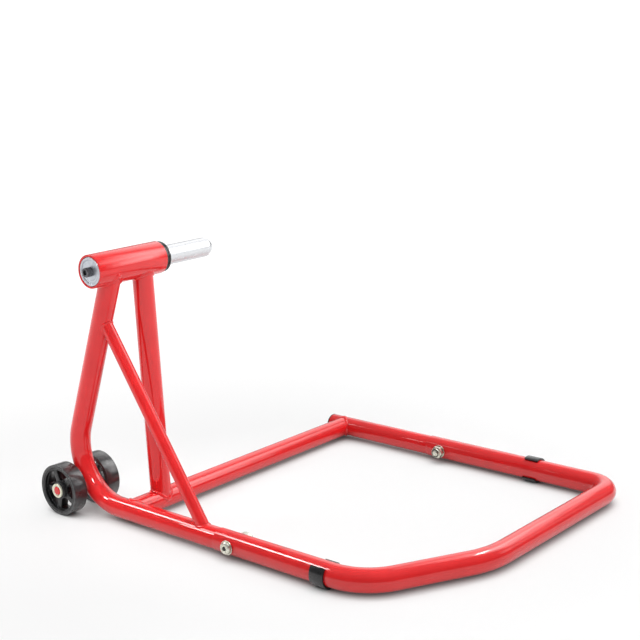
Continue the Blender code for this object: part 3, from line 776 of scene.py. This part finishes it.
def lock_nut(side, outward):
    """A hexagon with turned corners, a smaller round collar, and the nylon ring in the collar, black plastic
    whose darkness also stands as painted shade in the collar's recess.
    """
    low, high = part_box(side + "_nut")
    seat = Vector((BOLT_X, high.y if outward > 0 else low.y, RAIL_Z))
    inward = Y_AXIS * -outward
    tall = high.y - low.y
    apothem = (high.x - low.x) / 2
    hexagon = six_sided(apothem)
    bore = BOLT_R + CLEARANCE
    shoulder = 0.0068
    collar_start = 0.0088

    def capped(limit):
        return lambda angle: min(hexagon(angle), limit)

    shares = (0.25, 0.5, 0.75, 1.0)
    rings = [(bore, 0.0), (apothem - 0.0002, 0.0)]
    rings += [(capped(apothem + 0.0014 * share), 0.0009 * share**2) for share in shares]
    rings += [(capped(apothem + 0.0014 * share), shoulder - 0.0010 * share**2) for share in shares[::-1]]
    collar = apothem - 0.0012
    rings.append((apothem - 0.0004, shoulder + 0.0001))
    rings += [(collar, shoulder + 0.0006), (collar, collar_start)]
    for step in range(1, 6):
        angle = math.pi / 2 * step / 5
        reach = collar - 0.0008 + 0.0008 * math.cos(angle)
        rings.append((reach, collar_start + (tall - collar_start) * math.sin(angle)))
    rings += [(NYLON_R, tall - 0.0002), (NYLON_R, tall - 0.0020), (bore, tall - 0.0020)]
    nut = polar(side + "_nut_smooth", rings, seat, inward, Z_AXIS, closed=True)
    dress(nut, "zinc_plate", "frame", side + "_nut")
    # the nylon ring is black plastic; its darkness is partly painted shade for the recess in the collar
    corners = [
        (BOLT_R + 0.0001, tall - 0.0018, 0),
        (NYLON_R - 0.0001, tall - 0.0018, 0),
        (NYLON_R - 0.0001, tall - 0.0006, 0.0003),
        (BOLT_R + 0.0001, tall - 0.0009, 0.0003),
    ]
    nylon_and_painted_shade = lathe(side + "_nut_nylon", corners, seat, inward, closed=True)
    dress(nylon_and_painted_shade, "black_plastic", "frame")


# ---------------------------------------------------------------- feet
def foot_clip(side, across, facing):
    """A snap-on C of black plastic with softened edges, flat where it stands on the floor."""
    node = side + "_foot_clip"
    forward = middle(node).x
    inner = HANDLE_R + CLEARANCE
    outer = inner + FOOT_WALL
    start = facing + FOOT_OPENING / 2
    end = facing - FOOT_OPENING / 2 + 2 * math.pi
    bottom = 1.5 * math.pi
    sole = math.acos((RAIL_Z - FLOOR) / outer)
    outline = arc(outer, start, bottom - sole, 40) + arc(outer, bottom + sole, end, 40)
    outline += arc(inner, end, start, 80)
    turn = Matrix(((0, 0, 1), (1, 0, 0), (0, 1, 0))).to_4x4()
    matrix = Matrix.Translation((forward, across, RAIL_Z)) @ turn
    clip = flat_shape(side + "_clip", [outline], size(node).x, 0.0004, matrix)
    dress(clip, "black_plastic", "frame", node)


# ---------------------------------------------------------------- wheels
def wheel(side, outward):
    """Moulded hub with spokes, tread ring, washer and push nut."""
    low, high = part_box(side + "_wheel_tyre")
    inner_face = low.y if outward > 0 else high.y
    base = Vector((WHEEL.x, inner_face, WHEEL.z))
    axis = Y_AXIS * outward
    body = side + "_wheel"
    hub(side, base, axis, body)
    tyre(side, base, axis, body)
    push_nut(side, base, axis)
    washer(side + "_wheel_washer", AXLE_R + CLEARANCE, WHEEL.x, WHEEL.z)


def hub(side, base, axis, body):
    """Rim, boss and a deep web with a window between each two spokes, moulded in one."""
    width = WHEEL_WIDTH
    rim_out = size(side + "_wheel_hub").z / 2
    bore = AXLE_R + CLEARANCE
    lip = 0.0006
    rim = [
        (rim_out, lip, 0.0003),
        (rim_out, width - lip, 0.0003),
        (RIM_INNER_R + 0.0002, width - lip, 0.0007),
        (RIM_INNER_R - 0.0006, width / 2, 0),
        (RIM_INNER_R + 0.0002, lip, 0.0007),
    ]
    boss_end = [
        (BOSS_R, width - 0.0037, 0.0002),
        (BOSS_R - 0.0010, width - 0.0034, 0.0001),
        (BOSS_R - 0.0010, width - 0.0029, 0.0001),
        (BOSS_R - 0.0002, width - 0.0026, 0.0002),
        (BOSS_R - 0.0002, width - 0.0014, 0.0004),
        (BOSS_R - 0.0016, width - 0.0012, 0.0003),
        (BOSS_R - 0.0022, width, 0.0007),
    ]
    other_end = [(radius, width - height, fillet) for radius, height, fillet in boss_end[::-1]]
    boss = [(bore, 0.0, 0.0003)] + other_end + boss_end + [(bore, width, 0.0003)]
    outlines = [
        arc(RIM_INNER_R + 0.0012, 0, 2 * math.pi * 95 / 96, 95),
        arc(BOSS_R - 0.002, 0, 2 * math.pi * 63 / 64, 63),
    ]
    pitch = 2 * math.pi / SPOKES
    for number in range(SPOKES):
        facing_way = SPOKE_TURN + number * pitch
        outlines.append(window_outline(facing_way, pitch, BOSS_R + 0.0008, RIM_INNER_R - 0.0012))
    turn = axis.to_track_quat("Z", "Y").to_matrix().to_4x4()
    place = Matrix.Translation(base + axis * width / 2) @ turn
    pieces = [
        lathe("rim", rim, base, axis, closed=True),
        lathe("boss", boss, base, axis, closed=True),
        flat_shape("web", outlines, WEB_THICKNESS, 0.0009, place),
    ]
    dress(gathered(side + "_hub", pieces), "black_plastic", body, side + "_wheel_hub")


def window_outline(centre, pitch, inner_r, outer_r):
    """The opening between two spokes of even width, with rounded corners."""

    def half_angle(radius):
        return pitch / 2 - math.asin(SPOKE_HALF_WIDTH / radius)

    def edge(radius, sign, short=0.0):
        angle = centre + sign * (half_angle(radius) - short / radius)
        return Vector((radius * math.cos(angle), radius * math.sin(angle)))

    def rounded(arriving, tip, leaving):
        shares = (0.2, 0.4, 0.6, 0.8)
        return [arriving.lerp(tip, share).lerp(tip.lerp(leaving, share), share) for share in shares]

    points = []
    for here, there, sign, steps in ((outer_r, inner_r, 1, 20), (inner_r, outer_r, -1, 8)):
        sweep = sign * (half_angle(here) - WINDOW_CORNER / here)
        points += [Vector(point) for point in arc(here, centre - sweep, centre + sweep, steps)]
        inward = math.copysign(WINDOW_CORNER, there - here)
        leaving = edge(here + inward, sign)
        arriving = edge(there - inward, sign)
        points += rounded(points[-1], edge(here, sign), leaving)
        points += [leaving, arriving]
        points += rounded(arriving, edge(there, sign), edge(there, sign, WINDOW_CORNER))
    return points


def tyre(side, base, axis, body):
    """The tread ring: each side face has a shallow groove between two raised edges."""
    width = WHEEL_WIDTH
    face = [
        (TREAD_INNER_R, 0.0, 0.0003),
        (TREAD_INNER_R + 0.0006, 0.0, 0.0003),
        (TREAD_INNER_R + 0.0009, 0.0006, 0.0003),
        (WHEEL_R - 0.0016, 0.0006, 0.0003),
        (WHEEL_R - 0.0013, 0.0, 0.0002),
        (WHEEL_R, 0.0, 0.0009),
    ]
    other_face = [(radius, width - height, fillet) for radius, height, fillet in reversed(face)]
    ring = lathe(side + "_tyre", face + other_face, base, axis, closed=True, steps=160)
    dress(ring, "black_rubber", body, side + "_wheel_tyre")


def push_nut(side, base, axis):
    """A pressed cap ring that grips the axle's end."""
    node = side + "_wheel_push_nut"
    radius = size(node).z / 2
    start = WHEEL_WIDTH + CLEARANCE
    bore = AXLE_R + CLEARANCE
    corners = [
        (bore, start, 0),
        (radius, start, 0.0002),
        (radius, start + 0.0022, 0.0006),
        (radius - 0.0010, start + 0.0024, 0.0004),
        (bore + 0.0012, start + 0.0024, 0.0005),
        (bore, start + 0.0014, 0.0002),
    ]
    dress(lathe(side + "_push_nut", corners, base, axis, closed=True), "zinc_cream", "frame", node)


def wheel_axle():
    """The axle and the sleeve that holds it to the bend."""
    low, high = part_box("wheel_axle")
    length = high.y - low.y
    corners = [
        (0.0, 0.0, 0),
        (AXLE_R, 0.0, 0.0011),
        (AXLE_R, length, 0.0011),
        (0.0, length, 0),
    ]
    axle = lathe("axle_smooth", corners, Vector((WHEEL.x, low.y, WHEEL.z)), Y_AXIS)
    dress(axle, "red_paint", "frame", "wheel_axle")
    stations = [(Vector((WHEEL.x, end.y, WHEEL.z)), Y_AXIS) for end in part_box("axle_sleeve")]
    sleeve = pipe("axle_sleeve_smooth", stations, Z_AXIS, SLEEVE_R, SLEEVE_R - AXLE_R - CLEARANCE)
    dress(sleeve, "red_paint", "frame", "axle_sleeve")


# ---------------------------------------------------------------- lifting pin
def lifting_pin():
    """The pin with its tapered nose and flange, and the grooved collar behind the flange."""
    low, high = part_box("lifting_pin")
    end = high.y - low.y
    flange_r = size("lifting_pin").z / 2
    collar_low, collar_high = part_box("pin_collar")
    flange_start = collar_high.y - low.y + CLEARANCE
    flange_end = flange_start + 0.003
    thread_end = 0.022
    corners = [
        (0.0, end, 0),
        (0.0095, end, 0.0012),
        (PIN_R, end - 0.0085, 0.0030),
        (PIN_R, flange_end, 0.0004),
        (flange_r, flange_end, 0.0006),
        (flange_r, flange_start, 0.0006),
        (PIN_R, flange_start, 0),
        (PIN_R, 0.0, 0.0006),
        (PIN_THREAD_R, 0.0, 0.0003),
        (PIN_THREAD_R, thread_end, 0),
        (0.0, thread_end, 0),
    ]
    pin = lathe("pin_smooth", corners, lift_point(low.y), Y_AXIS)
    dress(pin, "steel", "pin", "lifting_pin")
    bore = PIN_R + CLEARANCE
    collar_r = size("pin_collar").z / 2
    groove_r = collar_r - 0.0007
    tall = collar_high.y - collar_low.y
    corners = [
        (bore, 0.0, 0.0003),
        (collar_r, 0.0, 0.0008),
        (collar_r, tall * 0.40, 0.0002),
        (groove_r, tall * 0.43, 0.0002),
        (groove_r, tall * 0.55, 0.0002),
        (collar_r, tall * 0.58, 0.0002),
        (collar_r, tall, 0.0010),
        (bore, tall, 0.0003),
    ]
    collar = lathe("collar_smooth", corners, lift_point(collar_low.y), Y_AXIS, closed=True)
    dress(collar, "black_plastic", "pin", "pin_collar")


def pin_end_disc():
    """A plated disc with a raised rim and a shallow groove inside it."""
    low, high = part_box("pin_end_disc")
    radius = size("pin_end_disc").z / 2
    thick = high.y - low.y
    corners = [
        (PIN_THREAD_R, 0.0015, 0.0002),
        (0.0120, 0.0015, 0.0002),
        (0.0126, 0.0011, 0.0002),
        (radius - 0.0046, 0.0011, 0.0002),
        (radius - 0.0042, 0.0016, 0.0001),
        (radius - 0.0034, 0.0016, 0.0001),
        (radius - 0.0028, 0.0000, 0.0003),
        (radius, 0.0000, 0.0007),
        (radius, thick, 0.0003),
        (PIN_THREAD_R, thick, 0.0002),
    ]
    disc = lathe("end_disc_smooth", corners, lift_point(low.y), Y_AXIS, closed=True)
    dress(disc, "zinc_silver", "pin", "pin_end_disc")


def pin_end_bolt():
    """A black socket-head bolt with a knurled head."""
    low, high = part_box("pin_end_bolt")
    length = high.y - low.y
    head = 0.0098
    head_r = size("pin_end_bolt").z / 2
    knurl_r = head_r - KNURL_DEPTH
    shank_r = 0.004
    socket = six_sided(0.0034)

    def knurled(angle):
        return knurl_r + KNURL_DEPTH * math.cos(KNURLS * angle)

    rings = [
        (0.0, 0.0042),
        (0.0010, 0.0040),
        (socket, 0.0036),
        (socket, 0.0004),
        (lambda angle: socket(angle) + 0.0003, 0.0),
        (head_r - 0.0009, 0.0),
        (head_r - 0.0004, 0.0002),
        (knurl_r, 0.0008),
        (knurled, 0.0016),
        (knurled, head - 0.0004),
        (head_r - 0.0004, head),
        (shank_r, head),
        (shank_r, length - 0.0008),
        (shank_r - 0.0008, length),
        (0.0, length),
    ]
    bolt = polar("end_bolt_smooth", rings, lift_point(low.y), Y_AXIS, Z_AXIS, steps=144)
    dress(bolt, "black_steel", "pin", "pin_end_bolt")


def bushes():
    """The two bushes inside the lift tube keep their CAD shape."""
    for node in ("near_bush", "far_bush"):
        carried = frame["nodes"][node]
        carried.data.materials.clear()
        carried.data.materials.append(MATERIALS["bush_plastic"])


# ---------------------------------------------------------------- stage, light and camera
FLOOR_HALF_SIZE = 300
STUDIO_BASE = 0.22  # brightness of the studio between its soft panels
PANEL_RADIANCE = 0.80  # of each of the soft panel's steps
PANEL_STEPS = 5
LOW_PANEL_RADIANCE = 1.5
LOW_PANEL_STEPS = 3


def floor():
    """A white studio floor whose own glow is painted light: it grows with distance, so it is dimmer near the
    stand, and fades into painted contact shadow where a piece comes near it.
    """
    mesh = bpy.data.meshes.new("floor")
    bm = bmesh.new()
    bmesh.ops.create_grid(bm, x_segments=1, y_segments=1, size=FLOOR_HALF_SIZE)
    bm.to_mesh(mesh)
    bm.free()
    made = bpy.data.objects.new("floor", mesh)
    # off-centre, so that the seam between its two triangles is far from the stand
    made.location = (60, -110, FLOOR - 0.0001)
    bpy.context.scene.collection.objects.link(made)
    material, tree, shader = new_material("floor_white", (0.26, 0.26, 0.26), 0.8)
    shader.inputs["Specular IOR Level"].default_value = 0.0
    shader.inputs["Emission Color"].default_value = (1, 1, 1, 1)
    # painted light: the floor's emission grows with distance from the middle of the stand
    place = tree.nodes.new("ShaderNodeNewGeometry")
    distance = tree.nodes.new("ShaderNodeVectorMath")
    distance.operation = "LENGTH"
    tree.links.new(place.outputs["Position"], distance.inputs[0])
    painted_glow_by_distance = map_range(tree, distance.outputs["Value"], 0.4, 1.6, 0.64, 0.98)
    # painted contact shadow: occlusion within 5 cm dims the floor's glow under and beside the pieces
    painted_contact_shadow_mask = tree.nodes.new("ShaderNodeAmbientOcclusion")
    painted_contact_shadow_mask.inputs["Distance"].default_value = 0.05
    painted_floor_glow = map_range(tree, painted_contact_shadow_mask.outputs["AO"], 0.10, 0.72, 0.0, 1.0)
    tree.links.new(painted_glow_by_distance.outputs["Result"], painted_floor_glow.inputs["To Max"])
    tree.links.new(painted_floor_glow.outputs["Result"], shader.inputs["Emission Strength"])
    mesh.materials.append(material)


def area_light(name, place, target, width, height, radiance, along=X_AXIS, spread=180, mirrored=True):
    """A panel of a given brightness; a narrow spread (degrees) keeps its light to what it points at."""
    spread = math.radians(spread)
    light = bpy.data.lights.new(name, "AREA")
    light.shape = "RECTANGLE"
    light.size = width
    light.size_y = height
    light.spread = spread
    narrowing = 1 - spread / 2 / math.tan(spread / 2)
    light.energy = radiance * math.pi * width * height * narrowing
    made = bpy.data.objects.new(name, light)
    made.location = place
    made.rotation_euler = facing(target - place, along)
    made.visible_camera = False
    made.visible_glossy = mirrored
    bpy.context.scene.collection.objects.link(made)


def facing(forward, along):
    """The turn of a light that shines forward, with its width lying as near along as it can."""
    back = -forward.normalized()
    across = (along - back * along.dot(back)).normalized()
    return Matrix((across, back.cross(across), back)).transposed().to_euler()


def world():
    """A grey studio with two soft panels of light, in front of a white backdrop."""
    made = bpy.data.worlds.new("studio")
    made.use_nodes = True
    tree = made.node_tree
    place = tree.nodes.new("ShaderNodeTexCoord")
    panels = (
        ((-0.38, 0.80, 0.46), 0.88, 0.985, 1.1),  # high on the far side
        ((0.0, 0.2, 1.0), 0.2, 0.9, 0.30),  # overhead
    )
    total = None
    for direction, outside, inside, strength in panels:
        dot = tree.nodes.new("ShaderNodeVectorMath")
        dot.operation = "DOT_PRODUCT"
        dot.inputs[1].default_value = Vector(direction).normalized()
        tree.links.new(place.outputs["Generated"], dot.inputs[0])
        blend = map_range(tree, dot.outputs["Value"], outside, inside, 0.0, strength)
        blend.interpolation_type = "SMOOTHSTEP"
        add = tree.nodes.new("ShaderNodeMath")
        add.operation = "ADD"
        add.inputs[1].default_value = STUDIO_BASE
        if total:
            tree.links.new(total.outputs["Value"], add.inputs[1])
        tree.links.new(blend.outputs["Result"], add.inputs[0])
        total = add
    studio = tree.nodes["Background"]
    studio.inputs["Color"].default_value = (1, 1, 1, 1)
    tree.links.new(total.outputs["Value"], studio.inputs["Strength"])
    backdrop = tree.nodes.new("ShaderNodeBackground")
    backdrop.inputs["Color"].default_value = (1, 1, 1, 1)
    backdrop.inputs["Strength"].default_value = 1.0
    path = tree.nodes.new("ShaderNodeLightPath")
    seen = tree.nodes.new("ShaderNodeMixShader")
    tree.links.new(path.outputs["Is Camera Ray"], seen.inputs[0])
    tree.links.new(studio.outputs["Background"], seen.inputs[1])
    tree.links.new(backdrop.outputs["Background"], seen.inputs[2])
    tree.links.new(seen.outputs["Shader"], tree.nodes["World Output"].inputs["Surface"])
    bpy.context.scene.world = made


def camera():
    """A long lens from the front right, a little above the stand."""
    lens = bpy.data.cameras.new("camera")
    lens.sensor_width = 36
    lens.lens = 78.43
    made = bpy.data.objects.new("camera", lens)
    azimuth = math.radians(40.28)
    pitch = math.radians(13.49)
    roll = math.radians(-1.31)
    right = Vector((math.cos(azimuth), math.sin(azimuth), 0))
    level = Vector((-math.sin(azimuth), math.cos(azimuth), 0))
    forward = level * math.cos(pitch) - Z_AXIS * math.sin(pitch)
    up = right.cross(forward)
    rolled_right = right * math.cos(roll) + up * math.sin(roll)
    rolled_up = up * math.cos(roll) - right * math.sin(roll)
    turn = Matrix((rolled_right, rolled_up, -forward)).transposed().to_4x4()
    place = Vector((LIFT.x + 1.43509, NEAR_Y - 1.24557, RAIL_Z + 0.71928))
    made.matrix_world = Matrix.Translation(place) @ turn
    bpy.context.scene.collection.objects.link(made)
    bpy.context.scene.camera = made


def lights():
    """Stepped soft panels behind, a strip for the near rail, glints on two bends, and unmirrored fill."""
    centre = (cad_low + cad_high) / 2
    lift = lift_point(0.0)
    direction = Vector((0.42, 0.65, 0.60)).normalized()
    for step in range(PANEL_STEPS):
        side = 0.35 + 0.20 * step
        place = lift + direction * (1.4 + 0.01 * step)
        area_light(f"panel_{step}", place, lift, side, side, PANEL_RADIANCE)
    tube = lift_point((LIFT_NEAR + LIFT_FAR) / 2)
    direction = Vector((0.68, 0.65, 0.27)).normalized()
    for step in range(LOW_PANEL_STEPS):
        place = tube + direction * (1.4 + 0.01 * step)
        width = 0.35 + 0.15 * step
        height = 0.45 + 0.25 * step
        name = f"low_panel_{step}"
        area_light(name, place, tube, width, height, LOW_PANEL_RADIANCE, along=Y_AXIS, spread=40)
    strip = Vector((centre.x, NEAR_Y, RAIL_Z)) + Vector((-0.695, -0.215, 0.725))
    aim = strip + Vector((0.66, 0.26, -0.70))
    area_light("strip", strip, aim, 0.66, 0.16, 25.0, along=Vector((0.57, -0.26, 0.04)), spread=32)
    area_light("top", centre + Vector((0.2, 0.2, 2.6)), centre, 1.8, 1.8, 3.2, mirrored=False)
    area_light("fill", centre + Vector((2.9, -1.1, 1.5)), centre, 1.4, 1.4, 3.6, mirrored=False)
    bend = Vector((LIFT.x - 0.035, NEAR_Y - 0.010, RAIL_Z + 0.025))
    handle_bend = Vector((END_BAR_X - 0.003, NEAR_Y + 0.145, RAIL_Z + HANDLE_R))
    along_diagonal = Vector((-0.25, 0.29, -0.15))
    glints = (
        (bend, (0.383, -0.475, 0.793), 1.2, 0.18, 0.18, 46.0, X_AXIS, 28),
        (bend, (-0.415, -0.575, 0.705), 1.2, 0.17, 0.17, 46.0, X_AXIS, 28),
        (handle_bend, (0.09, 0.54, 0.84), 3.0, 1.50, 0.16, 64.0, along_diagonal, 18),
    )
    for number, (target, direction, distance, *panel) in enumerate(glints):
        place = target + Vector(direction).normalized() * distance
        area_light(f"glint_{number}", place, target, *panel)


camera()
near_side_tube()
far_rail_tube()
welded_tubes()
lift_tube()
handle_tube()
far_rail_end_plug()
joint_bolt("near", -1)
joint_bolt("far", 1)
foot_clip("near", NEAR_Y, NEAR_FOOT_FACING)
foot_clip("far", FAR_Y, FAR_FOOT_FACING)
wheel("near", -1)
wheel("far", 1)
wheel_axle()
lifting_pin()
pin_end_disc()
pin_end_bolt()
bushes()
floor()
world()
lights()
bpy.context.scene.view_settings.view_transform = "Standard"
